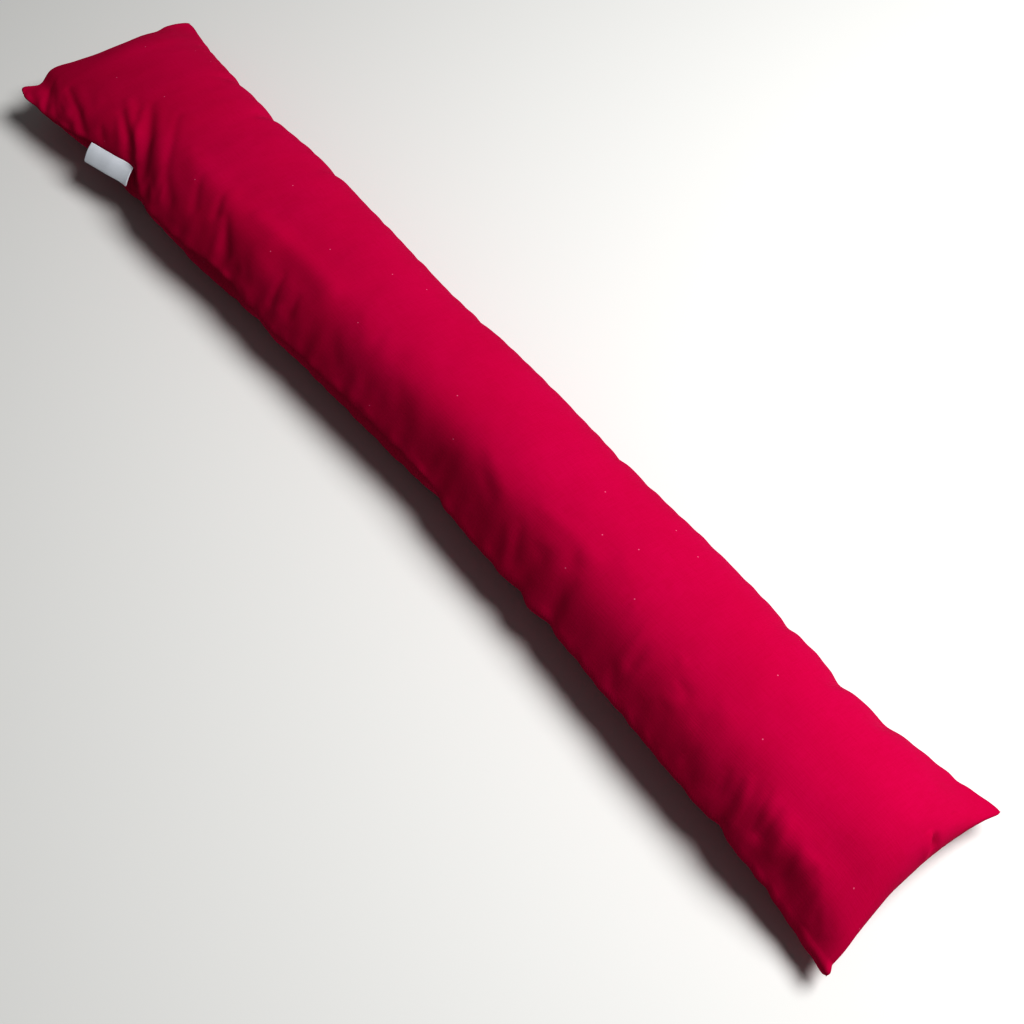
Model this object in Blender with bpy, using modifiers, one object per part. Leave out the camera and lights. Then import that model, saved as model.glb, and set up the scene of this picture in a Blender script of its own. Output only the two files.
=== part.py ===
# A draught excluder: a long, slim cushion that lies along the foot of a door.
# Two long cotton panels are sewn together all round and filled, and a short folded label is
# caught in one long seam. The cushion lies on its back: X runs along it, Y across it, and the
# lower panel rests flat at Z = 0. Left means the -Y seam, far means the -X end.

import math

import bmesh
import bpy
import numpy as np
from mathutils import Matrix, Vector

MM = 0.001

# The mesh of each panel: columns along the cushion, rows across it
PANEL_COLUMNS = 116
PANEL_ROWS = 22
COLUMN_CROWDING = 0.55
WELD_DISTANCE = 0.0001

# How each panel closes onto the seam at the two ends, and how thin the corners are
END_ROUNDING_TOP = 46.0
END_ROUNDING_BOTTOM = 70.0
END_BLEND = 60.0
CORNER_THINNING = 26.0
CORNER_FULLNESS = 0.12
SEWN_EDGE = 0.9
SEWN_EDGE_WIDTH = 3.0

# The shape of a section: how full its shoulders are, and how far the upper panel leans in
TOP_FULLNESS = 0.45
BOTTOM_FULLNESS = 0.55
TOP_LEAN = 0.75
REST_LEFT = -36.0
REST_RIGHT = 34.0
REST_SHARE = 0.3

# The two long seams. bulge: how far the lower panel's curve swings out past the seam (mm).
SEAM_COLUMNS = ("x", "y", "height", "bulge")
LEFT_SEAM = (
    (-580, -103.0, 42, -3),
    (-530, -98.2, 43, -5),
    (-490, -92.0, 46, -4),
    (-462, -85.0, 50, 10),
    (-432, -78.0, 52, 24),
    (-402, -71.5, 53, 38),
    (-386, -79.0, 50, 16),
    (-366, -89.5, 45, -6),
    (-340, -88.2, 45, -6),
    (-300, -86.6, 47, 2),
    (-262, -81.0, 50, 14),
    (-222, -78.0, 50, 10),
    (-192, -81.0, 46, -2),
    (-115, -76.5, 48, 2),
    (-10, -71.0, 51, 6),
    (52, -69.0, 49, 2),
    (80, -73.0, 46, -8),
    (118, -74.8, 45, -10),
    (210, -77.2, 45, -10),
    (250, -78.2, 45, -10),
    (300, -81.5, 45, -10),
    (345, -84.0, 45, -10),
    (400, -86.2, 44, -10),
    (470, -89.0, 41, -9),
    (530, -92.5, 31, -7),
    (580, -100.0, 21, -3),
)
RIGHT_SEAM = (
    (-580, 102.5, 20, -2),
    (-530, 93.5, 27, -5),
    (-490, 85.7, 35, -8),
    (-440, 79.3, 43, -10),
    (-370, 77.3, 45, -10),
    (-280, 80.3, 45, -10),
    (-160, 77.7, 45, -10),
    (-80, 74.2, 46, -10),
    (30, 78.2, 46, -10),
    (160, 75.2, 46, -10),
    (290, 76.8, 45, -10),
    (360, 74.8, 45, -10),
    (430, 72.3, 44, -10),
    (490, 81.0, 38, -8),
    (530, 90.5, 31, -6),
    (580, 100.5, 25, -2),
)

# The crown of the upper panel along the cushion
CROWN_COLUMNS = ("x", "y", "height")
CROWN = (
    (-580, 0, 56),
    (-530, -2, 68),
    (-480, 0, 79),
    (-400, 0, 87),
    (-300, -2, 91),
    (-180, -2, 94),
    (-60, 0, 98),
    (80, 2, 101),
    (220, 0, 98),
    (340, -2, 95),
    (430, -4, 94),
    (490, -2, 86),
    (540, 0, 72),
    (580, 0, 60),
)

# The two end seams. across: 0 at the left corner, 1 at the right corner.
END_COLUMNS = ("across", "x", "height")
FAR_END = (
    (0.00, -574, 42),
    (0.04, -580, 42),
    (0.11, -572, 42),
    (0.20, -579, 43),
    (0.32, -570, 43),
    (0.45, -562, 42),
    (0.60, -557.5, 40),
    (0.75, -559, 37),
    (0.86, -570, 31),
    (0.94, -573, 25),
    (1.00, -572, 20),
)
NEAR_END = (
    (0.00, 573.5, 22),
    (0.05, 571.5, 25),
    (0.10, 569, 28),
    (0.18, 566, 33),
    (0.28, 563.5, 37),
    (0.42, 561, 40),
    (0.55, 561, 40),
    (0.66, 562, 38),
    (0.78, 564.5, 35),
    (0.90, 568.5, 30),
    (1.00, 574.5, 26),
)

# The label: two layers of narrow woven tape, folded at the outer edge and caught in the left seam.
# lean: how far its folded edge lies towards +X of its sewn edge (mm)
LABEL_FROM = -460.0
LABEL_TO = -402.0
LABEL_WIDTH = 17.0
LABEL_THICKNESS = 1.0
LABEL_SEAM_GAP = 2.4
LABEL_LEAN = 4.0
LABEL_DROOP_START = 26.0
LABEL_DROOP_END = 42.0
LABEL_COLUMNS = 12
LABEL_ROWS = 5

# Folds of the upper panel, each from its seam side to its inner end (mm).
# depth: below 0 is a trough, above 0 a ridge. width: from its middle to where it has faded.
FOLD_COLUMNS = ("x0", "y0", "x1", "y1", "width", "depth")
FOLDS = (
    (-535, -94, -551, -79, 9, -1.8),
    (-472, -87, -505, -73, 10, -2.2),
    (-505, -73, -527, -67, 10, -1.2),
    (-487, -71, -517, -60, 11, 1.0),
    (-412, -69, -450, -48, 9, -2.2),
    (-393, -73, -433, -36, 8, 2.0),
    (-417, -53, -458, -35, 8, 1.4),
    (-379, -72, -404, -46, 9, -3.2),
    (-404, -46, -432, -24, 8, -2.8),
    (-374, -53, -417, -22, 10, 1.2),
    (-333, -71, -365, -48, 9, -1.8),
    (-365, -48, -400, -12, 9, -1.4),
    (-303, -60, -320, -38, 9, -1.1),
    (-277, -51, -285, -38, 9, -1.6),
    (-246, -66, -265, -47, 9, -2.0),
    (-257, -72, -264, -61, 9, 0.9),
    (-130, -26, -240, -27, 12, 2.4),
    (-173, -66, -176, -46, 9, -1.2),
    (-148, -62, -149, -50, 9, -1.1),
    (54, -66, 57, -54, 10, -1.4),
    (95, -27, 130, -40, 10, 1.0),
    (173, -65, 160, -47, 8, -1.1),
    (168, -69, 151, -54, 8, 0.8),
    (165, -28, 225, -27, 11, 1.0),
    (306, -76, 298, -66, 9, -0.9),
    (424, -72, 421, -62, 9, -1.2),
    (446, -80, 436, -56, 9, 2.2),
    (468, -70, 467, -54, 9, -1.6),
    (483, -72, 478, -54, 9, 1.5),
    (500, -78, 494, -62, 9, -1.4),
    (508, -78, 512, -62, 9, -1.6),
    (532, -82, 526, -66, 10, 1.2),
    (552, -84, 548, -76, 9, -1.8),
    (568, -92, 556, -66, 9, 1.4),
)

# Gathers of the long seams, which run in on both panels (mm). depth: how far the seam draws in.
PUCKER_COLUMNS = ("side", "x", "width", "depth")
LEFT, RIGHT = 0, 1
PUCKERS = (
    (LEFT, -368, 7, 5.0),
    (LEFT, -186, 12, 2.5),
    (LEFT, -119, 9, 1.5),
    (LEFT, 74, 12, 2.5),
    (LEFT, 190, 10, 2.5),
    (LEFT, 207, 8, -1.5),
    (LEFT, 227, 9, 2.5),
    (LEFT, 329, 8, 1.5),
    (LEFT, 441, 9, 3.5),
    (LEFT, 497, 7, 2.0),
    (RIGHT, -430, 10, 1.5),
    (RIGHT, -366, 9, 3.0),
    (RIGHT, -270, 9, 1.2),
    (RIGHT, -35, 9, 1.2),
    (RIGHT, 155, 9, 1.2),
    (RIGHT, 360, 8, 2.0),
    (RIGHT, 421, 10, 3.5),
    (RIGHT, 468, 9, 2.5),
    (RIGHT, 533, 7, 1.5),
)
PUCKER_REACH = 24.0
NORMAL_STEP = 0.001

# Colours and finishes
CRIMSON_COTTON = (0.45, 0.003, 0.035, 1.0)
GREY_WOVEN_TAPE = (0.60, 0.66, 0.73, 1.0)
COTTON_ROUGHNESS = 0.85
TAPE_ROUGHNESS = 0.70


def curve_through(rows, columns, wanted):
    """A smooth function of the first column that passes through the named one in each row."""
    table = np.array(rows, float)
    at = table[:, 0]
    value = table[:, columns.index(wanted)]
    step = np.diff(at)
    slope = np.diff(value) / step
    tangent = np.zeros(len(at))
    for i in range(1, len(at) - 1):
        if slope[i - 1] * slope[i] > 0:
            tangent[i] = 2 * slope[i - 1] * slope[i] / (slope[i - 1] + slope[i])
    tangent[0] = slope[0]
    tangent[-1] = slope[-1]

    def read(x):
        i = np.clip(np.searchsorted(at, x) - 1, 0, len(step) - 1)
        u = np.clip((x - at[i]) / step[i], 0, 1)
        rise = value[i + 1] - value[i]
        cubic = (3 - 2 * u) * u**2
        start = u * (1 - u) ** 2 * step[i] * tangent[i]
        end = u**2 * (1 - u) * step[i] * tangent[i + 1]
        return value[i] + cubic * rise + start - end

    return read


left_y = curve_through(LEFT_SEAM, SEAM_COLUMNS, "y")
left_height = curve_through(LEFT_SEAM, SEAM_COLUMNS, "height")
left_bulge = curve_through(LEFT_SEAM, SEAM_COLUMNS, "bulge")
right_y = curve_through(RIGHT_SEAM, SEAM_COLUMNS, "y")
right_height = curve_through(RIGHT_SEAM, SEAM_COLUMNS, "height")
right_bulge = curve_through(RIGHT_SEAM, SEAM_COLUMNS, "bulge")
crown_y = curve_through(CROWN, CROWN_COLUMNS, "y")
crown_height = curve_through(CROWN, CROWN_COLUMNS, "height")
far_x = curve_through(FAR_END, END_COLUMNS, "x")
far_height = curve_through(FAR_END, END_COLUMNS, "height")
near_x = curve_through(NEAR_END, END_COLUMNS, "x")
near_height = curve_through(NEAR_END, END_COLUMNS, "height")


def bezier(p0, p1, p2, p3, u):
    v = 1 - u
    return v**3 * p0 + 3 * v**2 * u * p1 + 3 * v * u**2 * p2 + u**3 * p3


def top_half(seam_y, seam_z, peak_y, peak_z, u):
    """Half a section of the upper panel, from a long seam (u = 0) up to the crown (u = 1)."""
    rise = peak_z - seam_z
    reach = peak_y - seam_y
    lean = np.sign(reach) * TOP_LEAN * TOP_FULLNESS * rise
    y = bezier(seam_y, seam_y + lean, peak_y - TOP_FULLNESS * reach, peak_y, u)
    z = bezier(seam_z, seam_z + TOP_FULLNESS * rise, peak_z, peak_z, u)
    return y, z


def bottom_half(seam_y, seam_z, bulge, rest_y, u):
    """Half a section of the lower panel, from a long seam (u = 0) down to the flat (u = 1)."""
    reach = rest_y - seam_y
    swing = np.sign(reach) * bulge
    low_y = rest_y - BOTTOM_FULLNESS * reach
    y = bezier(seam_y, seam_y - swing, low_y, rest_y, u)
    z = bezier(seam_z, seam_z * (1 - BOTTOM_FULLNESS), 0.0, 0.0, u)
    return y, z


def top_section(x, across):
    """The upper panel's section at x, across going from 0 (left seam) to 1 (right seam)."""
    to_crown = np.clip(2 * np.minimum(across, 1 - across), 0, 1)
    left = top_half(left_y(x), left_height(x), crown_y(x), crown_height(x), to_crown)
    right = top_half(right_y(x), right_height(x), crown_y(x), crown_height(x), to_crown)
    on_left = across < 0.5
    return np.where(on_left, left[0], right[0]), np.where(on_left, left[1], right[1])


def bottom_section(x, across):
    """The lower panel's section at x, with the flat that it rests on in the middle."""
    side = (1 - REST_SHARE) / 2
    to_flat = np.clip(np.minimum(across, 1 - across) / side, 0, 1)
    left = bottom_half(left_y(x), left_height(x), left_bulge(x), REST_LEFT, to_flat)
    right = bottom_half(right_y(x), right_height(x), right_bulge(x), REST_RIGHT, to_flat)
    flat_share = np.clip((across - side) / REST_SHARE, 0, 1)
    flat_y = REST_LEFT + (REST_RIGHT - REST_LEFT) * flat_share
    y = np.where(across < side, left[0], np.where(across > 1 - side, right[0], flat_y))
    z = np.where(across < side, left[1], np.where(across > 1 - side, right[1], 0.0))
    return y, z


def round_over(distance, radius):
    """A quarter circle's rise from 0 at an end seam to 1 at this radius from it."""
    inside = np.clip(1 - distance / radius, 0, 1)
    return np.sqrt(1 - inside**2)


def smooth_panel(along, across, upper):
    """The place in mm of each point of a panel before its folds, for shares along and across it."""
    x = far_x(across) + (near_x(across) - far_x(across)) * along
    from_far = x - far_x(across)
    from_near = near_x(across) - x
    from_end = np.minimum(from_far, from_near)
    y, z = top_section(x, across) if upper else bottom_section(x, across)
    near_seam = np.exp(-((from_end / END_BLEND) ** 2))
    straight_y = left_y(x) + (right_y(x) - left_y(x)) * across
    y = y + (straight_y - y) * near_seam
    chord = left_height(x) + (right_height(x) - left_height(x)) * across
    end_height = np.where(along < 0.5, far_height(across), near_height(across))
    base = chord + (end_height - chord) * near_seam
    rounding = END_ROUNDING_TOP if upper else END_ROUNDING_BOTTOM
    end_rise = round_over(from_end, rounding)
    from_side = np.minimum(y - left_y(x), right_y(x) - y)
    from_corner = np.hypot(from_end, from_side)
    thinning = 1 - (1 - CORNER_FULLNESS) * np.exp(-((from_corner / CORNER_THINNING) ** 2))
    from_seam = np.minimum(from_end, from_side)
    cloth = SEWN_EDGE * (1 - np.exp(-((from_seam / SEWN_EDGE_WIDTH) ** 2)))
    z = base + (z - chord) * end_rise * thinning + (cloth if upper else -cloth)
    return np.stack([x, y, z], axis=-1)


def outward(along, across, upper):
    """The direction that faces out of a panel at each point."""
    a = np.clip(along, NORMAL_STEP, 1 - NORMAL_STEP)
    b = np.clip(across, NORMAL_STEP, 1 - NORMAL_STEP)
    forward = smooth_panel(a + NORMAL_STEP, b, upper) - smooth_panel(a - NORMAL_STEP, b, upper)
    sideways = smooth_panel(a, b + NORMAL_STEP, upper) - smooth_panel(a, b - NORMAL_STEP, upper)
    direction = np.cross(forward, sideways)
    direction /= np.linalg.norm(direction, axis=-1, keepdims=True)
    return direction if upper else -direction


def fold_depth(places):
    """How far the folds of the upper panel raise or sink it at each place (mm)."""
    total = np.zeros(len(places))
    for fold in FOLDS:
        row = dict(zip(FOLD_COLUMNS, fold))
        start = np.array([row["x0"], row["y0"]])
        run = np.array([row["x1"], row["y1"]]) - start
        from_start = places[:, :2] - start
        share = np.clip(from_start @ run / (run @ run), 0, 1)
        aside = np.linalg.norm(from_start - share[:, None] * run, axis=1)
        total += row["depth"] * np.exp(-((aside / row["width"]) ** 2))
    return total


def drawn_in(places):
    """How far the gathers of the long seams pull each place along Y (mm)."""
    total = np.zeros(len(places))
    x, y = places[:, 0], places[:, 1]
    for pucker in PUCKERS:
        row = dict(zip(PUCKER_COLUMNS, pucker))
        on_left = row["side"] == LEFT
        from_seam = y - left_y(x) if on_left else right_y(x) - y
        reach = np.exp(-((from_seam / PUCKER_REACH) ** 2))
        pull = row["depth"] * np.exp(-(((x - row["x"]) / row["width"]) ** 2)) * reach
        total += pull if on_left else -pull
    return total


def panel_points(along, across, upper):
    """The place in mm of each point of a panel, with its folds and the gathers of its seams."""
    places = smooth_panel(along, across, upper)
    to_side = np.minimum(across, 1 - across)
    to_end = np.minimum(along, 1 - along)
    on_seam = np.minimum(to_side, to_end) < NORMAL_STEP
    if upper:
        depth = np.where(on_seam, 0.0, fold_depth(places))
        folded = places + outward(along, across, upper) * depth[:, None]
    else:
        folded = places.copy()
    folded[:, 1] += drawn_in(places)
    folded[:, 2] = np.maximum(folded[:, 2], 0.0)
    return folded


def crowded(share):
    """Shares along the cloth, closer together at both ends."""
    return share - COLUMN_CROWDING * np.sin(2 * math.pi * share) / (2 * math.pi)


def panel_mesh(mesh, upper):
    """One panel: a grid of cloth, shaped, with its faces turned outwards."""
    made = bmesh.ops.create_grid(mesh, x_segments=PANEL_COLUMNS, y_segments=PANEL_ROWS, size=0.5)
    points = made["verts"]
    along = crowded(np.array([v.co.x + 0.5 for v in points]))
    across = 0.5 - 0.5 * np.cos(math.pi * np.array([v.co.y + 0.5 for v in points]))
    for vertex, place in zip(points, panel_points(along, across, upper)):
        vertex.co = Vector(place) * MM
    if not upper:
        faces = {face for vertex in points for face in vertex.link_faces}
        bmesh.ops.reverse_faces(mesh, faces=list(faces))


def add_object(name, mesh, material, collection):
    data = bpy.data.meshes.new(name)
    mesh.to_mesh(data)
    mesh.free()
    data.materials.append(material)
    made = bpy.data.objects.new(name, data)
    collection.objects.link(made)
    return made


def plain_material(name, colour, roughness):
    material = bpy.data.materials.new(name)
    material.use_nodes = True
    shader = material.node_tree.nodes["Principled BSDF"]
    shader.inputs["Base Color"].default_value = colour
    shader.inputs["Roughness"].default_value = roughness
    shader.inputs["Metallic"].default_value = 0.0
    return material


def make_cushion(collection):
    """The filled cushion: the upper and the lower panel, sewn along their shared edge."""
    mesh = bmesh.new()
    panel_mesh(mesh, True)
    panel_mesh(mesh, False)
    seam = [vertex for vertex in mesh.verts if vertex.is_boundary]
    bmesh.ops.remove_doubles(mesh, verts=seam, dist=WELD_DISTANCE)
    material = plain_material("crimson_cotton", CRIMSON_COTTON, COTTON_ROUGHNESS)
    cushion = add_object("cushion", mesh, material, collection)
    cushion.data.shade_smooth()
    return cushion


def make_label(collection):
    """The label: a strip of tape that leaves the seam outwards and droops, with real thickness."""
    mesh = bmesh.new()
    made = bmesh.ops.create_grid(mesh, x_segments=LABEL_COLUMNS, y_segments=LABEL_ROWS, size=0.5)
    for vertex in made["verts"]:
        x = LABEL_FROM + (LABEL_TO - LABEL_FROM) * (vertex.co.x + 0.5)
        share_out = 0.5 - vertex.co.y
        out = LABEL_SEAM_GAP + LABEL_WIDTH * share_out
        bend = (LABEL_DROOP_END - LABEL_DROOP_START) * share_out
        droop = math.radians(LABEL_DROOP_START + bend)
        seam = Vector((x, float(left_y(x)), float(left_height(x))))
        fall = Vector((LABEL_LEAN * share_out, -math.cos(droop) * out, -math.sin(droop) * out))
        vertex.co = (seam + fall) * MM
    material = plain_material("grey_woven_tape", GREY_WOVEN_TAPE, TAPE_ROUGHNESS)
    label = add_object("label", mesh, material, collection)
    thickness = label.modifiers.new("two layers", "SOLIDIFY")
    thickness.thickness = LABEL_THICKNESS * MM
    thickness.offset = 0.0
    thickness.use_even_offset = True
    return label


def centre_over_origin(cushion, label):
    """Puts the middle of the cushion's length and width over the origin."""
    places = np.array([vertex.co for vertex in cushion.data.vertices])
    middle = (places.min(axis=0) + places.max(axis=0)) / 2
    move = Matrix.Translation((-middle[0], -middle[1], 0.0))
    cushion.data.transform(move)
    label.data.transform(move)


def clear_scene():
    for old in list(bpy.data.objects):
        bpy.data.objects.remove(old, do_unlink=True)


def main():
    clear_scene()
    collection = bpy.data.collections.new("draught_excluder")
    bpy.context.scene.collection.children.link(collection)
    cushion = make_cushion(collection)
    label = make_label(collection)
    centre_over_origin(cushion, label)


main()
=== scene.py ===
# A crimson draught excluder: its filled cotton cover and its folded woven label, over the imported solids.
# Lengths in the shape dictionaries are millimetres in the cushion's own frame, and settle() moves them
# onto the solids.
import math

import bmesh
import bpy
import numpy as np
from mathutils import Matrix, Vector
from mathutils import noise as fieldNoise


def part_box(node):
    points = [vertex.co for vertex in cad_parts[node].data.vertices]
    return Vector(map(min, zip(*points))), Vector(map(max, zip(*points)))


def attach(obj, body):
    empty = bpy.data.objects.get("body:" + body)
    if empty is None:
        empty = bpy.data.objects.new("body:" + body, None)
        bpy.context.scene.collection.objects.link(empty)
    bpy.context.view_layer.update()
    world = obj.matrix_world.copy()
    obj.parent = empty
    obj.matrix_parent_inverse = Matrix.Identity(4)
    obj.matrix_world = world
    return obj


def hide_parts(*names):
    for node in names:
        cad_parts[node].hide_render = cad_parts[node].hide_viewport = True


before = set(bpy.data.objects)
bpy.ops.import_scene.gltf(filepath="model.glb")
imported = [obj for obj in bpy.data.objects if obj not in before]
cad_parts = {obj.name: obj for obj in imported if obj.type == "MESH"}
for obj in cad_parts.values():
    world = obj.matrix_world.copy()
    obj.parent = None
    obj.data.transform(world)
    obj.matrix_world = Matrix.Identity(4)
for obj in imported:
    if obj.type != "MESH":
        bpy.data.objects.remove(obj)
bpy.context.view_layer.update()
mm = 0.001


def smoothCurve(rows, column):  # a monotone cubic through one column of a table, read at the first column
    table = np.array(rows, float)
    at, value = table[:, 0], table[:, column]
    step = np.diff(at)
    slope = np.diff(value) / step
    tangent = np.zeros(len(at))
    for i in range(1, len(at) - 1):
        if slope[i - 1] * slope[i] > 0:
            tangent[i] = 2 * slope[i - 1] * slope[i] / (slope[i - 1] + slope[i])
    tangent[0], tangent[-1] = slope[0], slope[-1]

    def read(x):
        i = np.clip(np.searchsorted(at, x) - 1, 0, len(step) - 1)
        u = np.clip((x - at[i]) / step[i], 0, 1)
        cubic = (3 - 2 * u) * u**2 * (value[i + 1] - value[i])
        return value[i] + cubic + u * (1 - u) * step[i] * ((1 - u) * tangent[i] - u * tangent[i + 1])

    return read


# The cover. Each seam row is x, y, height, and how far the lower panel swings out past the seam
cover = {
    "columns": 520,  # quads along the cushion
    "rows": 88,  # quads across each panel
    "endCrowding": 0.4,  # the quads lie closer together towards the seams
    "sideCrowding": 0.35,
    "measureAlong": (160, 0.6),  # a coarser grid, only to find the cushion's box
    "measureAcross": (40, 0.35),
    "leftSeam": (
        (-580, -103.0, 42, -3), (-530, -98.2, 43, -5), (-490, -92.0, 46, -4), (-462, -85.0, 50, 10),
        (-432, -78.0, 52, 24), (-402, -71.5, 53, 38), (-386, -79.0, 50, 16), (-366, -89.5, 45, -6),
        (-340, -88.2, 45, -6), (-300, -86.6, 47, 2), (-262, -81.0, 50, 14), (-222, -78.0, 50, 10),
        (-192, -81.0, 46, -2), (-115, -76.5, 48, 2), (-10, -71.0, 51, 6), (52, -69.0, 49, 2),
        (80, -73.0, 46, -8), (118, -74.8, 45, -10), (210, -77.2, 45, -10), (250, -78.2, 45, -10),
        (300, -81.5, 45, -10), (345, -84.0, 45, -10), (400, -86.2, 44, -10), (470, -89.0, 41, -9),
        (530, -92.5, 31, -7), (580, -100.0, 21, -3),
    ),
    "rightSeam": (
        (-580, 102.5, 20, -2), (-530, 93.5, 27, -5), (-490, 85.7, 35, -8), (-440, 79.3, 43, -10),
        (-370, 77.3, 45, -10), (-280, 80.3, 45, -10), (-160, 77.7, 45, -10), (-80, 74.2, 46, -10),
        (30, 78.2, 46, -10), (160, 75.2, 46, -10), (290, 76.8, 45, -10), (360, 74.8, 45, -10),
        (430, 72.3, 44, -10), (490, 81.0, 38, -8), (530, 90.5, 31, -6), (580, 100.5, 25, -2),
    ),
    "crown": (  # x, y, height
        (-580, 0, 56), (-530, -2, 68), (-480, 0, 79), (-400, 0, 87), (-300, -2, 91), (-180, -2, 94),
        (-60, -3, 98), (80, -5, 101), (220, -4, 98), (340, -3, 95), (430, -4, 94), (490, -2, 86),
        (540, 0, 72), (580, 0, 60),
    ),
    "farEnd": (  # share across, x, height
        (0.00, -574, 42), (0.04, -580, 42), (0.11, -572, 42), (0.20, -579, 43), (0.32, -570, 43),
        (0.45, -562, 42), (0.60, -557.5, 40), (0.75, -559, 37), (0.86, -570, 31), (0.94, -573, 25),
        (1.00, -572, 20),
    ),
    "nearEnd": (
        (0.00, 574, 22), (0.03, 572.5, 24), (0.055, 569, 25.5), (0.08, 568.8, 27), (0.18, 566, 33),
        (0.28, 563.5, 37), (0.42, 561, 40), (0.55, 561, 40), (0.66, 562, 38), (0.78, 564.5, 35),
        (0.90, 568.5, 30), (1.00, 574.5, 26),
    ),
    "endRoundingTop": 46.0,  # how far in a panel is still rising from an end seam
    "endRoundingBottom": 70.0,
    "endBlend": 60.0,  # how far in the end seam's own height is felt
    "cornerThinning": 26.0,  # the corners hold less filling
    "cornerFullness": 0.12,
    "sewnEdge": 0.9,  # half the thickness of the turned edge
    "sewnEdgeWidth": 2.2,
    "shoulder": 0.56,  # fullness of the upper panel above its seams and beside its crown
    "shoulderBelow": 0.55,
    "leanLeft": 0.75,  # how far the wall over a long seam leans in
    "leanRight": 0.32,
    "endLean": 0.42,  # of both walls towards the ends
    "endFrom": 380.0,
    "endOver": 150.0,
    "restLeft": -36.0,  # the strip that lies on the floor
    "restRight": 34.0,
    "restShare": 0.3,  # of the lower panel's width
    "notchDepth": 0.7,  # the two turned edges meet in a small notch
    "notchWidth": 0.8,
    "tipRounding": 3.2,  # the turned corners are blunt
    "tipWidth": 4.4,
    "tipAim": 12,  # the rounding pulls towards the grid point this many rows in
}

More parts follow.
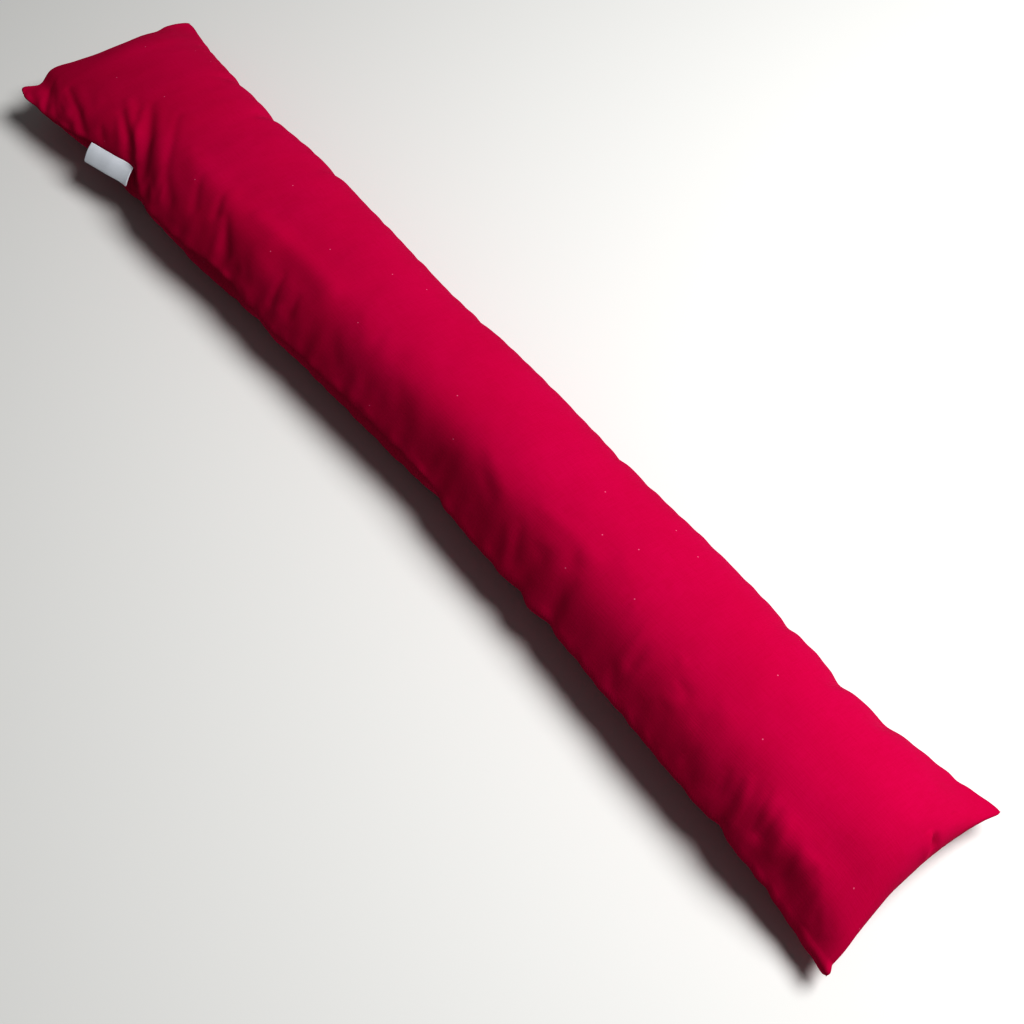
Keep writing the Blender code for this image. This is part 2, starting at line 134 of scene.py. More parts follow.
# Folds of the upper panel: width, depth (below 0 a trough, above 0 a ridge), then the points that each
# one runs through
folds = (
    # at the far end, around the corner and the label
    (6, 1.2, (-550, -92), (-563, -83)),
    (4, -0.9, (-560, -96), (-567, -93)),
    (4, -1.5, (-535, -94), (-551, -79)),
    (4.5, 0.8, (-527, -80), (-550, -69)),
    (3.5, -0.8, (-492, -95), (-517, -92), (-528, -86)),
    (3.5, 0.8, (-490, -86), (-520, -80)),
    (4.5, -1.9, (-472, -87), (-482, -81), (-492, -76), (-505, -73), (-527, -67)),
    (6, 0.7, (-487, -71), (-517, -60)),
    (5, 0.5, (-480, -58), (-492, -52)),
    (5, -1.2, (-447, -78), (-457, -72)),
    (4.5, 1.0, (-427, -66), (-447, -53)),
    (5, -1.9, (-412, -69), (-422, -60), (-437, -53), (-450, -48)),
    (4, -1.0, (-430, -41), (-440, -33), (-450, -29)),
    (4.5, 1.3, (-417, -53), (-432, -49), (-447, -41), (-458, -35)),
    (4.5, 1.6, (-381, -81), (-393, -73), (-403, -63), (-413, -55), (-423, -45), (-433, -36)),
    (6, -2.6, (-379, -72), (-389, -62), (-404, -46), (-423, -31), (-432, -24)),
    (6, 1.0, (-374, -53), (-397, -36), (-417, -22)),
    (5, -1.3, (-333, -71), (-353, -60), (-365, -48), (-373, -39), (-388, -24), (-400, -12)),
    (8, 0.6, (-340, -30), (-352, -26)),
    (3, 0.6, (-356, -80), (-366, -76)),
    (3, 0.6, (-344, -76), (-349, -66)),
    # between the label and the middle
    (16, 3.6, (-215, -38), (-260, -38), (-310, -36), (-350, -33)),
    (4.5, -1.1, (-303, -60), (-312, -49), (-320, -38)),
    (4.5, -1.8, (-277, -51), (-285, -38)),
    (6, 0.7, (-277, -31), (-281, -24)),
    (5.5, -2.1, (-245, -67), (-253, -58), (-265, -47)),
    (5, 0.8, (-257, -72), (-263, -62)),
    (4.5, -0.9, (-234, -76), (-225, -69)),
    (10, 2.7, (-130, -26), (-170, -24), (-205, -25), (-240, -27)),
    (7, -0.7, (-183, -46), (-212, -44)),
    (8, 0.6, (-195, -57), (-207, -60)),
    (4, -1.4, (-172, -66), (-176, -46)),
    (5, 0.8, (-160, -66), (-160, -50)),
    (4.5, -1.3, (-147, -62), (-149, -50)),
    (2.5, 0.6, (-170, -74), (-157, -62)),
    (8, -0.8, (-70, -62), (-96, -50)),
    (7, 0.6, (-62, -38), (-84, -22)),
    (6, 0.5, (-45, -30), (-55, -12)),
    (5, -0.4, (-26, -24), (-36, -30)),
    (7, -0.8, (5, -50), (-10, -42)),
    (8, -1.5, (54, -66), (57, -54)),
    (7, 1.1, (130, -40), (95, -27)),
    (5, -0.7, (124, -47), (104, -42)),
    # beyond the middle
    (5.5, -1.2, (173, -65), (160, -47)),
    (5, 0.7, (168, -69), (151, -54)),
    (7, 1.0, (225, -27), (200, -24), (165, -28)),
    (5.5, -0.8, (216, -40), (211, -32)),
    (5, -0.7, (192, -52), (182, -50)),
    (6, -0.8, (224, -68), (229, -50)),
    (6, 0.6, (256, -14), (240, -6)),
    (4, 0.4, (279, -31), (273, -19)),
    (4.5, 0.8, (300, -60), (297, -34)),
    (3.5, -0.8, (308, -58), (308, -44)),
    (4.5, -0.9, (306, -76), (299, -68)),
    (3.5, 0.5, (316, -62), (318, -44)),
    (4, 0.7, (337, -32), (331, -29)),
    (4, -1.0, (356, -45), (345, -43)),
    (4, 0.6, (356, -56), (345, -57)),
    (4, -0.6, (335, -73), (338, -67)),
    # at the near end
    (6, 0.5, (392, -38), (378, -30)),
    (4.5, -0.6, (378, -52), (381, -46)),
    (4, -0.7, (389, -73), (391, -65)),
    (5, -1.2, (424, -72), (421, -62)),
    (6, 2.3, (446, -80), (441, -66), (436, -56)),
    (4, -1.0, (462, -74), (456, -60), (452, -50)),
    (4, -1.7, (469, -72), (467, -54)),
    (5, 1.6, (483, -72), (478, -54)),
    (5, -0.9, (500, -78), (494, -62)),
    (3, -0.5, (500, -53), (512, -51)),
    (3, 0.35, (547, -78), (535, -69), (521, -59), (511, -55), (499, -59)),
    (5, -1.7, (508, -80), (512, -62)),
    (5, 1.2, (532, -82), (526, -66)),
    (15, 6.2, (574, -86), (556, -73), (525, -63), (490, -60), (460, -58)),
    (3.6, -6.0, (562, 22), (554, 29)),
    (3.2, 3.0, (561, 12), (555, 18), (550, 25)),
    # along the right seam
    (7, -0.9, (-430, 72), (-436, 52)),
    (7, -1.4, (-366, 72), (-360, 50)),
    (7, -0.7, (-270, 72), (-262, 54)),
    (7, -0.6, (-35, 70), (-30, 54)),
    (7, -0.7, (155, 70), (160, 52)),
    (6, -1.0, (360, 69), (352, 50)),
    (8, -1.4, (421, 64), (408, 44)),
    (7, 0.9, (436, 66), (424, 46)),
    (7, -1.2, (468, 70), (456, 50)),
    (6, -0.8, (533, 80), (520, 64)),
)

# A fold is deepest and widest where it starts, at the seam, and runs out towards the crown
foldShape = {
    "endDepth": 0.5,
    "startWidth": 1.25,
    "endWidth": 0.75,
    "below": 0.55,  # the lower panel shows them less
}

# Places where a long seam is drawn in: x, width, depth
leftGathers = (
    (-368, 7, 5.0), (-186, 12, 2.5), (-119, 9, 1.5), (74, 12, 2.5), (190, 10, 2.5), (207, 8, -1.5),
    (227, 9, 2.5), (329, 8, 1.5), (441, 9, 3.5), (497, 7, 2.0),
)
rightGathers = (
    (-430, 10, 1.5), (-366, 9, 3.0), (-270, 9, 1.2), (-35, 9, 1.2), (155, 9, 1.2), (360, 8, 2.0),
    (421, 10, 3.5), (468, 9, 2.5), (533, 7, 1.5),
)
gatherReach = 24.0

# Slack that a sewn cushion keeps: each seam wanders a little, ripples run in from it, and the cloth is
# never smooth
slack = {
    "wander": 0.7,  # across the seam
    "wanderHeight": 0.8,
    "wanderLengths": (19.0, 27.0, 41.0),
    "wanderReach": 14.0,
    "wanderRight": 0.5,  # the right seam wanders less
    "acrossSeeds": (11, 23),
    "heightSeeds": (31, 47),
    "calmAt": -431.0,  # the left seam lies calmer where it holds the label
    "calmWidth": 44.0,
    "calmShare": 0.85,
    "rippleDepth": 0.45,
    "rippleLength": 13.0,
    "rippleReach": 17.0,
    "rippleStretch": 0.25,  # ripples are longer across the panel than along it
    "softDepth": 0.7,
    "softLength": 46.0,
    "fineDepth": 0.22,
    "fineLength": 15.0,
    "fineStretch": 0.6,
    "noiseGain": 1.6,
    "upperSeed": 1.7,
    "lowerSeed": 5.3,
    "softSeed": 9,
    "fineSeed": 20,
    "stitchHold": 3.0,  # the stitches hold the cloth beside them
    "restHold": 12.0,  # so does the floor, up to this height
}

leftY, leftHeight, leftBulge = (smoothCurve(cover["leftSeam"], i) for i in (1, 2, 3))
rightY, rightHeight, rightBulge = (smoothCurve(cover["rightSeam"], i) for i in (1, 2, 3))
crownY, crownHeight = (smoothCurve(cover["crown"], i) for i in (1, 2))
farX, farHeight = (smoothCurve(cover["farEnd"], i) for i in (1, 2))
nearX, nearHeight = (smoothCurve(cover["nearEnd"], i) for i in (1, 2))


def bezier(p0, p1, p2, p3, u):
    v = 1 - u
    return v**3 * p0 + 3 * v**2 * u * p1 + 3 * v * u**2 * p2 + u**3 * p3


def bell(distance, width):
    return np.exp(-((distance / width) ** 2))


def upperSection(x, across):
    u = np.clip(2 * np.minimum(across, 1 - across), 0, 1)
    onLeft = across < 0.5
    seamY = np.where(onLeft, leftY(x), rightY(x))
    seamZ = np.where(onLeft, leftHeight(x), rightHeight(x))
    rise, reach = crownHeight(x) - seamZ, crownY(x) - seamY
    atEnd = np.clip((np.abs(x) - cover["endFrom"]) / cover["endOver"], 0, 1)
    atEnd = atEnd**2 * (3 - 2 * atEnd)
    middleLean = np.where(onLeft, cover["leanLeft"], cover["leanRight"])
    lean = middleLean + (cover["endLean"] - middleLean) * atEnd
    wallY = seamY + np.sign(reach) * lean * cover["shoulder"] * rise
    y = bezier(seamY, wallY, crownY(x) - cover["shoulder"] * reach, crownY(x), u)
    return y, bezier(seamZ, seamZ + cover["shoulder"] * rise, crownHeight(x), crownHeight(x), u)


def lowerSection(x, across):
    side = (1 - cover["restShare"]) / 2
    u = np.clip(np.minimum(across, 1 - across) / side, 0, 1)
    onLeft = across < 0.5
    seamY = np.where(onLeft, leftY(x), rightY(x))
    seamZ = np.where(onLeft, leftHeight(x), rightHeight(x))
    restY = np.where(onLeft, cover["restLeft"], cover["restRight"])
    reach = restY - seamY
    swing = np.sign(reach) * np.where(onLeft, leftBulge(x), rightBulge(x))
    y = bezier(seamY, seamY - swing, restY - cover["shoulderBelow"] * reach, restY, u)
    z = bezier(seamZ, seamZ * (1 - cover["shoulderBelow"]), 0.0, 0.0, u)
    flat = np.clip((across - side) / cover["restShare"], 0, 1)
    flatY = cover["restLeft"] + (cover["restRight"] - cover["restLeft"]) * flat
    return np.where(u < 1, y, flatY), np.where(u < 1, z, 0.0)


def endDistance(x, across):
    return np.minimum(x - farX(across), nearX(across) - x)


def sideDistance(x, y):
    return np.minimum(y - leftY(x), rightY(x) - y)


def smoothPanel(along, across, upper):  # a panel before its folds, as a grid of places in mm
    x = farX(across) + (nearX(across) - farX(across)) * along
    y, z = upperSection(x, across) if upper else lowerSection(x, across)
    fromEnd = endDistance(x, across)
    nearSeam = bell(fromEnd, cover["endBlend"])
    y = y + (leftY(x) + (rightY(x) - leftY(x)) * across - y) * nearSeam
    chord = leftHeight(x) + (rightHeight(x) - leftHeight(x)) * across
    endHeight = np.where(along < 0.5, farHeight(across), nearHeight(across))
    radius = cover["endRoundingTop"] if upper else cover["endRoundingBottom"]
    endRise = np.sqrt(1 - np.clip(1 - fromEnd / radius, 0, 1) ** 2)
    fromSide = sideDistance(x, y)
    emptied = (1 - cover["cornerFullness"]) * bell(np.hypot(fromEnd, fromSide), cover["cornerThinning"])
    filled = (z - chord) * endRise * (1 - emptied)
    edge = cover["sewnEdge"] * (1 - bell(np.minimum(fromEnd, fromSide), cover["sewnEdgeWidth"]))
    z = chord + (endHeight - chord) * nearSeam + filled + (edge if upper else -edge)
    return np.stack([x, y, z], axis=-1)


def gridNormals(places, upper):
    facing = np.cross(np.gradient(places, axis=0), np.gradient(places, axis=1))
    facing /= np.maximum(np.linalg.norm(facing, axis=-1, keepdims=True), 1e-9)
    return facing if upper else -facing


def foldHeight(places):  # how far the folds raise or sink each place
    total = np.zeros(places.shape[:2])
    for width, depth, *route in folds:
        nearest = np.full(places.shape[:2], 1e9)
        travelled = np.zeros(places.shape[:2])
        for number, (start, end) in enumerate(zip(route, route[1:])):
            start, run = np.array(start, float), np.subtract(end, start).astype(float)
            offset = places[..., :2] - start
            share = np.clip(offset @ run / (run @ run), 0, 1)
            aside = np.linalg.norm(offset - share[..., None] * run, axis=-1)
            travelled = np.where(aside < nearest, (number + share) / (len(route) - 1), travelled)
            nearest = np.minimum(nearest, aside)
        fading = 1 - (1 - foldShape["endDepth"]) * travelled**2
        narrowing = foldShape["startWidth"] - (foldShape["startWidth"] - foldShape["endWidth"]) * travelled
        total += depth * fading * bell(nearest, width * narrowing)
    return total


def drawnIn(x, fromLeft, fromRight):  # the pull of the gathers along Y
    total = np.zeros_like(x)
    for at, width, depth in leftGathers:
        total += depth * bell(x - at, width) * bell(fromLeft, gatherReach)
    for at, width, depth in rightGathers:
        total -= depth * bell(x - at, width) * bell(fromRight, gatherReach)
    return total


def wander(x, seed):  # a slow, irregular wave along a seam, within -1 to 1
    phases = np.random.default_rng(seed).uniform(0, 2 * math.pi, len(slack["wanderLengths"]))
    lengths = slack["wanderLengths"]
    waves = [np.sin(2 * math.pi * x / length + phase) for length, phase in zip(lengths, phases)]
    return sum(waves) / len(waves)


def leftWander(x, seed):  # the left seam lies calmer where it holds the label
    return wander(x, seed) * (1 - slack["calmShare"] * bell(x - slack["calmAt"], slack["calmWidth"]))


def seamWander(x, fromLeft, fromRight, seeds):  # the wander of both long seams, felt beside each
    left = leftWander(x, seeds[0]) * bell(fromLeft, slack["wanderReach"])
    return left + slack["wanderRight"] * wander(x, seeds[1]) * bell(fromRight, slack["wanderReach"])


def clothField(cloth, length, seed):  # soft noise over the flat cloth, within about -1 to 1
    points = cloth.reshape(-1, 2) / length
    values = [fieldNoise.noise((u, v, seed)) for u, v in points]
    return np.array(values).reshape(cloth.shape[:2]) * slack["noiseGain"]


def clothPlaces(places):  # the flat cloth under each grid point: distance along, distance across
    alongStep = np.linalg.norm(np.diff(places, axis=0), axis=-1)
    acrossStep = np.linalg.norm(np.diff(places, axis=1), axis=-1)
    along = np.vstack([np.zeros(places.shape[1]), np.cumsum(alongStep, axis=0)])
    across = np.hstack([np.zeros((places.shape[0], 1)), np.cumsum(acrossStep, axis=1)])
    middle = places.shape[1] // 2
    return np.stack([along[:, [middle]] + np.zeros_like(along), across - across[:, [middle]]], axis=-1)


def roundTips(places, smooth):  # the four corners drawn in towards the panel
    rows = (cover["tipAim"], -1 - cover["tipAim"])
    for i, j in ((0, 0), (0, -1), (-1, 0), (-1, -1)):
        inward = smooth[rows[i], rows[j]] - smooth[i, j]
        fromTip = np.linalg.norm(smooth - smooth[i, j], axis=-1)
        pull = cover["tipRounding"] * bell(fromTip, cover["tipWidth"])
        places += pull[..., None] * inward / np.linalg.norm(inward)


def shapedPanel(along, across, upper):  # a panel with its folds, gathers and slack
    smooth = smoothPanel(along, across, upper)
    cloth = clothPlaces(smooth)
    facing = gridNormals(smooth, upper)
    x = smooth[..., 0]
    fromEnd, fromSide = endDistance(x, across), sideDistance(x, smooth[..., 1])
    fromSeam = np.maximum(np.minimum(fromEnd, fromSide), 0)
    free = 1 - bell(fromSeam, slack["stitchHold"])
    lifted = np.clip(smooth[..., 2] / slack["restHold"], 0, 1) ** 2
    seed = slack["upperSeed"] if upper else slack["lowerSeed"]
    ripple = clothField(cloth * (1.0, slack["rippleStretch"]), slack["rippleLength"], seed)
    soft = clothField(cloth, slack["softLength"], seed + slack["softSeed"])
    fine = clothField(cloth * (1.0, slack["fineStretch"]), slack["fineLength"], seed + slack["fineSeed"])
    height = foldHeight(smooth) * (1.0 if upper else foldShape["below"])
    height += slack["rippleDepth"] * ripple * bell(fromSeam, slack["rippleReach"])
    height += slack["softDepth"] * soft
    height += slack["fineDepth"] * fine
    places = smooth + facing * (height * free * lifted)[..., None]
    fromLeft, fromRight = smooth[..., 1] - leftY(x), rightY(x) - smooth[..., 1]
    places[..., 1] += drawnIn(x, fromLeft, fromRight)
    places[..., 1] += slack["wander"] * seamWander(x, fromLeft, fromRight, slack["acrossSeeds"])
    places[..., 2] += slack["wanderHeight"] * seamWander(x, fromLeft, fromRight, slack["heightSeeds"])
    notch = cover["notchDepth"] * bell(fromSeam, cover["notchWidth"])
    atSide = fromSide < fromEnd
    places[..., 1] += np.where(atSide, np.where(across < 0.5, notch, -notch), 0)
    places[..., 0] += np.where(atSide, 0, np.where(along < 0.5, notch, -notch))
    roundTips(places, smooth)
    places[..., 2] = np.maximum(places[..., 2], 0)
    return places, cloth, fromSeam


def crowded(count, crowding):  # shares from 0 to 1, closer together at both ends
    share = np.linspace(0, 1, count + 1)
    return share - crowding * np.sin(2 * math.pi * share) / (2 * math.pi)


def setAttribute(mesh, name, kind, values):
    field = "vector" if kind == "FLOAT_VECTOR" else "value"
    made = mesh.attributes.new(name, kind, "POINT")
    made.data.foreach_set(field, np.ascontiguousarray(values, np.float32).ravel())


def addPiece(name, mesh, material):
    mesh.materials.append(material)
    made = bpy.data.objects.new(name, mesh)
    bpy.context.scene.collection.objects.link(made)
    mesh.shade_smooth()
    return made


def settle():  # how far the cushion's own frame lies from the solids' frame
    shares = crowded(*cover["measureAlong"]), crowded(*cover["measureAcross"])
    along, across = np.meshgrid(*shares, indexing="ij")
    places = np.concatenate([smoothPanel(along, across, upper).reshape(-1, 3) for upper in (True, False)])
    low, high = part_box("cushion")
    middle = (places.min(axis=0) + places.max(axis=0)) / 2 * mm
    return Vector(((low[0] + high[0]) / 2 - middle[0], (low[1] + high[1]) / 2 - middle[1], 0))


toSolids = settle()
print("frame loaded, cushion frame moved by", [round(v / mm, 2) for v in toSolids], "mm")


# Materials
def linear(hexColour, alpha=1.0):  # an sRGB hex colour as linear values
    channels = [int(hexColour[i:i + 2], 16) / 255 for i in (1, 3, 5)]
    return (*(c / 12.92 if c <= 0.04045 else ((c + 0.055) / 1.055) ** 2.4 for c in channels), alpha)


def addNode(tree, kind, inputs=None, **settings):  # an input is a value, an output, or a node's first output
    made = tree.nodes.new(kind)
    for name, value in settings.items():
        setattr(made, name, value)
    for socket, value in (inputs or {}).items():
        source = value.outputs[0] if isinstance(value, bpy.types.Node) else value
        if isinstance(source, bpy.types.NodeSocket):
            tree.links.new(source, made.inputs[socket])
        else:
            made.inputs[socket].default_value = source
    return made


def newMaterial(name):
    material = bpy.data.materials.new(name)
    material.use_nodes = True
    return material, material.node_tree, material.node_tree.nodes["Principled BSDF"]


cotton = {
    "body": "#AE0048",
    "shade": "#9E0034",  # threads that took the dye more deeply
    "bloom": "#C40E62",  # raised fibre ends
    "lint": "#E69BB0",
    "seam": "#4A0010",  # painted shade in the crease between the two turned edges
    "sheenTint": "#D0305E",
    "thread": 1.0,  # mm; the real threads are 0.45 mm apart, drawn coarser so that they show
    "bloomShare": 0.03,
    "weaveBump": 0.04,
    "weaveDepth": 0.0005,  # metres, as the other depths and the seam's widths are
    "slubsAlong": (60, 900, 1),  # to the metre: a slub is about 17 mm long and 1.1 mm wide
    "slubsAcross": (900, 60, 1),
    "slubDetail": 2.0,
    "slubEdge": (0.85, 1.25),  # where a slub starts and is full, in the sum of the two noises
    "slubShare": 0.30,
    "slubBump": 0.12,
    "slubDepth": 0.0012,
    "dyePatches": 9.0,  # to the metre
    "dyeDetail": 3.0,
    "dyeRoughness": 0.6,
    "dyeEdge": (0.3, 0.7),
    "dyeShare": 0.35,
    "lintCells": 34.0,  # to the metre; one in ten holds a speck
    "lintPick": 0.9,
    "lintSize": (0.012, 0.028),  # in cells: the speck's core and its rim
    "lintShare": 0.4,
    # painted shade beside the seams: how far it reaches, and its strength at the crease
    "seamShadeWidth": 0.0016,
    "paintedSeamShade": 0.25,
    "stitchPitch": 0.4,  # turns for each turn of the weave
    "stitchEdge": (0.0008, 0.0035),
    "stitchBump": 0.15,
    "stitchDepth": 0.0006,
    "roughness": 0.9,
    "specular": 0.05,
    "sheen": 0.10,
    "sheenRoughness": 0.45,
}


def pieceDyedCottonPlainWeave():
    # Washed cotton plain weave, dyed in the piece: an even, matt crimson with a faint grain, a soft bloom
    # and a little lint
    material, tree, shader = newMaterial("piece-dyed cotton plain weave")
    cloth = addNode(tree, "ShaderNodeAttribute", attribute_name="clothPlace").outputs["Vector"]
    seamGap = addNode(tree, "ShaderNodeAttribute", attribute_name="seamDistance").outputs["Fac"]
    perMetre = 2 * math.pi / (cotton["thread"] * mm)
    turns = addNode(tree, "ShaderNodeVectorMath", {0: cloth, "Scale": perMetre}, operation="SCALE")
    threads = addNode(tree, "ShaderNodeSeparateXYZ", {0: turns})
    warp = addNode(tree, "ShaderNodeMath", {0: threads.outputs[0]}, operation="SINE")
    weft = addNode(tree, "ShaderNodeMath", {0: threads.outputs[1]}, operation="SINE")
    weave = addNode(tree, "ShaderNodeMath", {0: warp, 1: weft}, operation="MULTIPLY")
    slubNoise = []
    for scale in (cotton["slubsAlong"], cotton["slubsAcross"]):
        place = addNode(tree, "ShaderNodeMapping", {"Vector": cloth, "Scale": scale})
        slubNoise.append(addNode(tree, "ShaderNodeTexNoise", {
            "Vector": place, "Scale": 1.0, "Detail": cotton["slubDetail"]}))
    slubs = addNode(tree, "ShaderNodeMath", {0: slubNoise[0], 1: slubNoise[1]}, operation="ADD")

    # Dye, slubs, raised fibres, lint and painted shade in the seam's crease, one over the other
    dye = addNode(tree, "ShaderNodeTexNoise", {
        "Vector": cloth, "Scale": cotton["dyePatches"], "Detail": cotton["dyeDetail"],
        "Roughness": cotton["dyeRoughness"]})
    dyePatch = addNode(tree, "ShaderNodeMapRange", {
        "Value": dye, "From Min": cotton["dyeEdge"][0], "From Max": cotton["dyeEdge"][1]})
    dyeShare = addNode(tree, "ShaderNodeMath", {0: dyePatch, 1: cotton["dyeShare"]}, operation="MULTIPLY")
    slubShare = addNode(tree, "ShaderNodeMapRange", {
        "Value": slubs, "From Min": cotton["slubEdge"][0], "From Max": cotton["slubEdge"][1],
        "To Max": cotton["slubShare"]})
    bloomShare = addNode(tree, "ShaderNodeMapRange", {
        "Value": weave, "From Min": -1.0, "From Max": 1.0, "To Max": cotton["bloomShare"]})
    lintCells = addNode(tree, "ShaderNodeTexVoronoi", {
        "Vector": cloth, "Scale": cotton["lintCells"], "Randomness": 1.0}, voronoi_dimensions="2D")
    lintSpeck = addNode(tree, "ShaderNodeMapRange", {
        "Value": lintCells.outputs["Distance"], "From Min": cotton["lintSize"][0],
        "From Max": cotton["lintSize"][1], "To Min": 1.0, "To Max": 0.0})
    lintChance = addNode(tree, "ShaderNodeSeparateColor", {0: lintCells.outputs["Color"]})
    picked = addNode(tree, "ShaderNodeMath", {0: lintChance, 1: cotton["lintPick"]}, operation="GREATER_THAN")
    lint = addNode(tree, "ShaderNodeMath", {0: lintSpeck, 1: picked}, operation="MULTIPLY")
    lintShare = addNode(tree, "ShaderNodeMath", {0: lint, 1: cotton["lintShare"]}, operation="MULTIPLY")
    # painted shade: the cloth darkens towards the crease of the seams
    paintedSeamShade = addNode(tree, "ShaderNodeMapRange", {
        "Value": seamGap, "From Min": 0.0, "From Max": cotton["seamShadeWidth"],
        "To Min": cotton["paintedSeamShade"], "To Max": 0.0})
    colour = linear(cotton["body"])
    for share, name in ((dyeShare, "shade"), (slubShare, "shade"), (bloomShare, "bloom"),
                        (lintShare, "lint"), (paintedSeamShade, "seam")):
        layer = linear(cotton[name])
        colour = addNode(tree, "ShaderNodeMix", {0: share, 6: colour, 7: layer}, data_type="RGBA").outputs[2]
    tree.links.new(colour, shader.inputs["Base Color"])

    # Threads, slubs, and the small pull of each stitch beside the seam
    stitchTurn = addNode(
        tree, "ShaderNodeMath", {0: threads.outputs[0], 1: cotton["stitchPitch"]}, operation="MULTIPLY")
    stitch = addNode(tree, "ShaderNodeMath", {0: stitchTurn}, operation="SINE")
    besideSeam = addNode(tree, "ShaderNodeMapRange", {
        "Value": seamGap, "From Min": cotton["stitchEdge"][0], "From Max": cotton["stitchEdge"][1],
        "To Min": 1.0, "To Max": 0.0})
    pull = addNode(tree, "ShaderNodeMath", {0: stitch, 1: besideSeam}, operation="MULTIPLY")
    bump = addNode(tree, "ShaderNodeBump", {
        "Height": weave, "Strength": cotton["weaveBump"], "Distance": cotton["weaveDepth"]})
    bump = addNode(tree, "ShaderNodeBump", {
        "Height": slubs, "Strength": cotton["slubBump"], "Distance": cotton["slubDepth"], "Normal": bump})
    bump = addNode(tree, "ShaderNodeBump", {
        "Height": pull, "Strength": cotton["stitchBump"], "Distance": cotton["stitchDepth"], "Normal": bump})
    tree.links.new(bump.outputs[0], shader.inputs["Normal"])
    shader.inputs["Roughness"].default_value = cotton["roughness"]
    shader.inputs["Specular IOR Level"].default_value = cotton["specular"]
    shader.inputs["Sheen Weight"].default_value = cotton["sheen"]
    shader.inputs["Sheen Roughness"].default_value = cotton["sheenRoughness"]
    shader.inputs["Sheen Tint"].default_value = linear(cotton["sheenTint"])
    return material


tape = {
    "body": "#E0E4EA",
    "rib": "#CAD0DA",
    # painted shade along the tape's folded edge
    "fold": "#9AA2AF",
    "ribPitch": 0.9,  # mm; the real picks are 0.3 mm apart, drawn coarser so that they show
    "ribShare": 0.45,
    "warpShare": 0.5,  # the warp shows half as strongly as the ribs
    "bump": 0.25,
    "depth": 0.0003,  # metres
    "roughness": 0.6,
    "specular": 0.3,
    "sheen": 0.15,
}


def wovenPolyesterTape():
    # Narrow woven polyester tape: pale blue-grey, fine cross ribs, a slight satin and firm heat-cut ends
    material, tree, shader = newMaterial("woven polyester label")
    place = addNode(tree, "ShaderNodeAttribute", attribute_name="clothPlace").outputs["Vector"]
    fold = addNode(tree, "ShaderNodeAttribute", attribute_name="paintedFoldShade").outputs["Fac"]
    perMetre = 2 * math.pi / (tape["ribPitch"] * mm)
    turns = addNode(tree, "ShaderNodeVectorMath", {0: place, "Scale": perMetre}, operation="SCALE")
    threads = addNode(tree, "ShaderNodeSeparateXYZ", {0: turns})
    ribs = addNode(tree, "ShaderNodeMath", {0: threads.outputs[1]}, operation="SINE")
    warp = addNode(tree, "ShaderNodeMath", {0: threads.outputs[0]}, operation="SINE")
    fineWarp = addNode(tree, "ShaderNodeMath", {0: warp, 1: tape["warpShare"]}, operation="MULTIPLY")
    weave = addNode(tree, "ShaderNodeMath", {0: ribs, 1: fineWarp}, operation="ADD")
    ribShare = addNode(tree, "ShaderNodeMapRange", {
        "Value": weave, "From Min": -1 - tape["warpShare"], "From Max": 1 + tape["warpShare"],
        "To Min": tape["ribShare"], "To Max": 0.0})
    colour = linear(tape["body"])
    for share, name in ((ribShare, "rib"), (fold, "fold")):
        layer = linear(tape[name])
        colour = addNode(tree, "ShaderNodeMix", {0: share, 6: colour, 7: layer}, data_type="RGBA").outputs[2]
    tree.links.new(colour, shader.inputs["Base Color"])
    bump = addNode(tree, "ShaderNodeBump", {
        "Height": weave, "Strength": tape["bump"], "Distance": tape["depth"]})
    tree.links.new(bump.outputs[0], shader.inputs["Normal"])
    shader.inputs["Roughness"].default_value = tape["roughness"]
    shader.inputs["Specular IOR Level"].default_value = tape["specular"]
    shader.inputs["Sheen Weight"].default_value = tape["sheen"]
    return material


def makeCover():
    shares = crowded(cover["columns"], cover["endCrowding"]), crowded(cover["rows"], cover["sideCrowding"])
    along, across = np.meshgrid(*shares, indexing="ij")
    count = along.size
    index = np.arange(count).reshape(along.shape)
    quads = np.stack([index[:-1, :-1], index[1:, :-1], index[1:, 1:], index[:-1, 1:]], axis=-1).reshape(-1, 4)
    panels = [shapedPanel(along, across, upper) for upper in (True, False)]
    places = np.concatenate([p[0].reshape(-1, 3) for p in panels]) * mm + np.array(toSolids)
    cloth = np.concatenate([p[1].reshape(-1, 2) for p in panels]) * mm
    fromSeam = np.concatenate([p[2].ravel() for p in panels]) * mm
    edge = np.zeros(along.shape, bool)
    edge[[0, -1], :] = edge[:, [0, -1]] = True
    # the lower panel shares the upper one's seam points
    lowerIndex = np.where(edge, index, index + count).ravel()
    faces = np.concatenate([quads, lowerIndex[quads][:, ::-1]])
    mesh = bpy.data.meshes.new("filled cotton cover")
    mesh.from_pydata(places.tolist(), [], faces.tolist())
    # the third place is the panel's number, so that the two panels' patterns differ
    setAttribute(mesh, "clothPlace", "FLOAT_VECTOR", np.column_stack([cloth, np.repeat([0.0, 1.0], count)]))
    setAttribute(mesh, "seamDistance", "FLOAT", fromSeam)
    work = bmesh.new()
    work.from_mesh(mesh)
    bmesh.ops.delete(work, geom=[v for v in work.verts if not v.link_faces], context="VERTS")
    work.to_mesh(mesh)
    work.free()
    made = addPiece("cotton_cover_piece", mesh, pieceDyedCottonPlainWeave())
    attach(made, "root")
    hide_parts("cushion")
    print("cover made:", len(mesh.vertices), "points,", len(mesh.polygons), "quads")


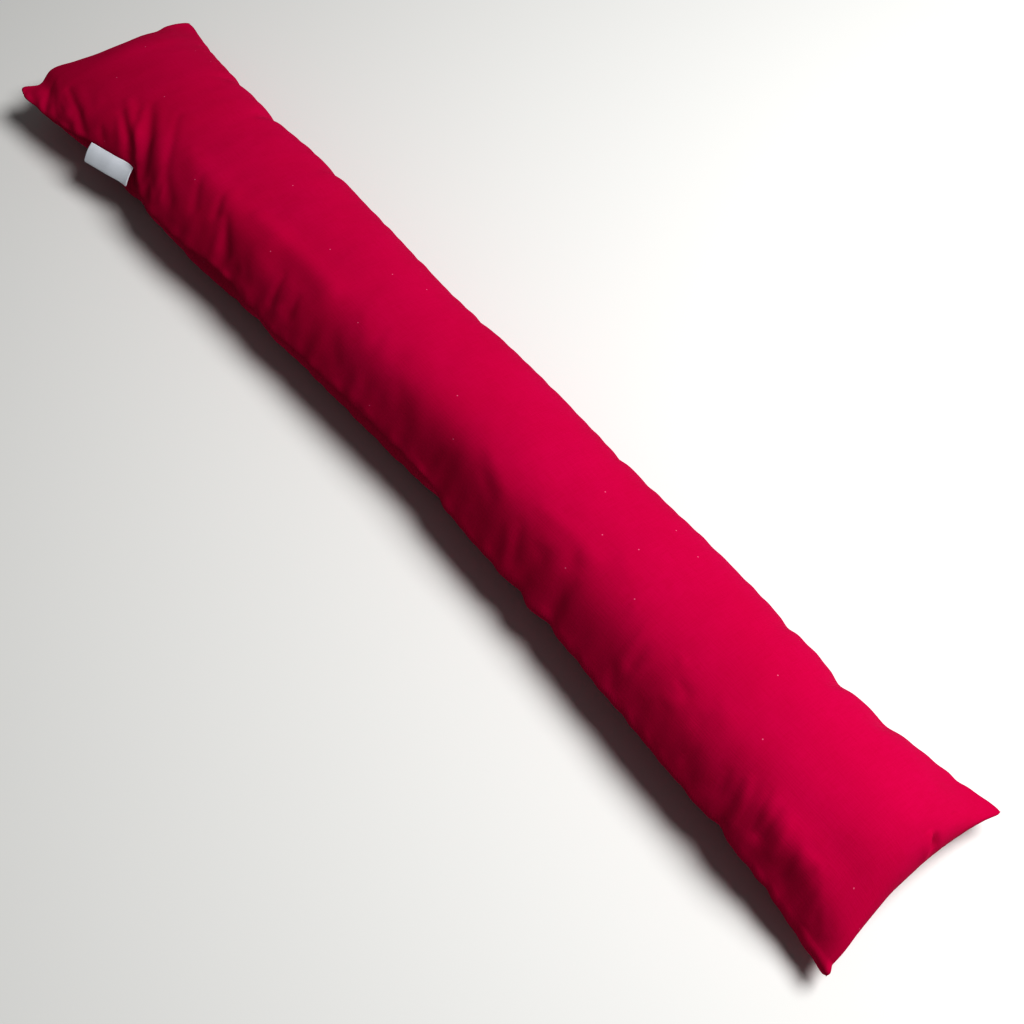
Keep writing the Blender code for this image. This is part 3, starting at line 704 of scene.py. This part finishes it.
label = {
    "from": -460.0,
    "to": -402.0,
    "tuck": -1.2,  # how far the tape goes into the seam
    "width": 19.2,  # from the seam to the fold
    "gap": 0.34,  # half the distance between the two layers
    "gapAtSeam": 0.35,  # the share of it left at the seam, where the layers come together
    "gapOver": 5.0,
    "cloth": 0.32,
    "lean": 4.0,  # of its folded edge along the cushion
    "wave": 0.10,
    "waveTurns": 1.1,
    "waveStart": 0.4,
    "droopStart": 26.0,  # degrees below level, at the seam and at the fold
    "droopEnd": 42.0,
    "cornerRadius": 1.6,
    "shadeWidth": 0.7,  # painted shade greys the fold's edge, most of all below
    "shadeSide": 0.05,
    "shadeOnTop": 0.25,
    "columns": 58,
    "layerRows": 14,
    "foldRows": 8,
}


def makeLabel():
    out = np.linspace(label["tuck"], label["width"] - label["gap"], label["layerRows"] + 1)
    turn = np.linspace(0, math.pi, label["foldRows"] + 1)[1:-1]
    reach = np.concatenate([out, out[-1] + label["gap"] * np.sin(turn), out[::-1]])
    side = np.concatenate([np.ones(len(out)), np.cos(turn), -np.ones(len(out))]) * label["gap"]
    side *= label["gapAtSeam"] + (1 - label["gapAtSeam"]) * np.clip(reach / label["gapOver"], 0, 1)
    travelled = np.concatenate([[0], np.cumsum(np.hypot(np.diff(reach), np.diff(side)))])
    # painted shade along the fold's edge: full on the underside, fainter on top
    paintedFoldShade = bell(np.abs(reach - label["width"]), label["shadeWidth"])
    paintedFoldShade *= np.where(side < label["shadeSide"], 1.0, label["shadeOnTop"])
    radius = label["cornerRadius"]
    pastCorner = np.clip(reach - label["width"] + radius, 0, None)
    rounding = radius - np.sqrt(np.maximum(radius**2 - pastCorner**2, 0))
    points, place, fold = [], [], []
    for s in np.linspace(0, 1, label["columns"] + 1):
        swell = label["wave"] * math.sin(2 * math.pi * label["waveTurns"] * s + label["waveStart"])
        for r, across, gone, rounded, shade in zip(reach, side, travelled, rounding, paintedFoldShade):
            outShare = r / label["width"]
            x = label["from"] + rounded + (label["to"] - label["from"] - 2 * rounded) * s
            bend = math.radians(label["droopStart"] + (label["droopEnd"] - label["droopStart"]) * outShare)
            seamHeight = leftHeight(x) + slack["wanderHeight"] * leftWander(x, slack["heightSeeds"][0])
            seam = np.array([x + label["lean"] * outShare, leftY(x), seamHeight])
            outward = np.array([0, -math.cos(bend), -math.sin(bend)])
            normal = np.array([0, -math.sin(bend), math.cos(bend)])
            lifted = across + swell * outShare**2
            points.append((seam + outward * r + normal * lifted) * mm + np.array(toSolids))
            place.append((x * mm, gone * mm, 0))
            fold.append(shade)
    index = np.arange(len(points)).reshape(-1, len(reach))
    faces = np.stack([index[:-1, :-1], index[1:, :-1], index[1:, 1:], index[:-1, 1:]], axis=-1).reshape(-1, 4)
    mesh = bpy.data.meshes.new("folded woven label")
    mesh.from_pydata(np.array(points).tolist(), [], faces.tolist())
    setAttribute(mesh, "clothPlace", "FLOAT_VECTOR", place)
    setAttribute(mesh, "paintedFoldShade", "FLOAT", fold)
    made = addPiece("woven_label_piece", mesh, wovenPolyesterTape())
    body = made.modifiers.new("tape thickness", "SOLIDIFY")
    body.thickness = label["cloth"] * mm
    body.offset = 0.0
    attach(made, "root")
    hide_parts("label")


makeCover()
makeLabel()

# Floor, light and camera
studio = {
    "floor": "#D2D2D0",
    "floorHalf": 4.0,  # metres, as every place and size below
    "floorDrop": 0.0004,  # keeps the floor off the cushion's flat underside
    "floorRoughness": 0.95,
    "floorSpecular": 0.1,
    "eye": (0.5864, -0.4116, 1.1077),
    "look": (-0.37482, 0.31287, -0.87271),
    "right": (0.64081, 0.76770, 0.0),
    "lens": 50.0,  # mm, on a sensor 36 mm wide
    "sensor": 36.0,
    "keyPlace": (0.80, 0.84, 1.80),
    "keyAim": (0.20, 0.0, 0.05),
    "keySize": 1.15,
    "keyPower": 50.5,
    "fill": 0.10,
}


def plainFloor():
    material, _, shader = newMaterial("matt studio paper")
    shader.inputs["Base Color"].default_value = linear(studio["floor"])
    shader.inputs["Roughness"].default_value = studio["floorRoughness"]
    shader.inputs["Specular IOR Level"].default_value = studio["floorSpecular"]
    mesh = bpy.data.meshes.new("studio floor")
    half = studio["floorHalf"]
    corners = [(-half, -half, 0), (half, -half, 0), (half, half, 0), (-half, half, 0)]
    mesh.from_pydata(corners, [], [(0, 1, 2, 3)])
    floor = addPiece("studio_floor", mesh, material)
    floor.location.z = -studio["floorDrop"]


def aimed(name, data, place, aim):
    made = bpy.data.objects.new(name, data)
    made.location = place
    made.rotation_euler = (Vector(place) - Vector(aim)).to_track_quat("Z", "Y").to_euler()
    bpy.context.scene.collection.objects.link(made)
    return made


def studioLight():
    key = bpy.data.lights.new("soft key", "AREA")
    key.shape = "DISK"
    key.size = studio["keySize"]
    key.energy = studio["keyPower"]
    aimed("soft key", key, studio["keyPlace"], studio["keyAim"])
    world = bpy.data.worlds.new("studio fill")
    bpy.context.scene.world = world
    world.use_nodes = True
    backdrop = world.node_tree.nodes["Background"]
    backdrop.inputs[0].default_value = (1, 1, 1, 1)
    backdrop.inputs[1].default_value = studio["fill"]


def photoCamera():
    look, right = Vector(studio["look"]).normalized(), Vector(studio["right"]).normalized()
    up = right.cross(look)
    data = bpy.data.cameras.new("camera")
    data.lens = studio["lens"]
    data.sensor_width = studio["sensor"]
    camera = bpy.data.objects.new("camera", data)
    turned = Matrix((right, up, -look)).transposed().to_4x4()
    camera.matrix_world = Matrix.Translation(Vector(studio["eye"]) + toSolids) @ turned
    bpy.context.scene.collection.objects.link(camera)
    bpy.context.scene.camera = camera


plainFloor()
studioLight()
photoCamera()
bpy.context.scene.view_settings.view_transform = "Standard"
bpy.context.scene.view_settings.look = "High Contrast"
print("floor, light and camera made")
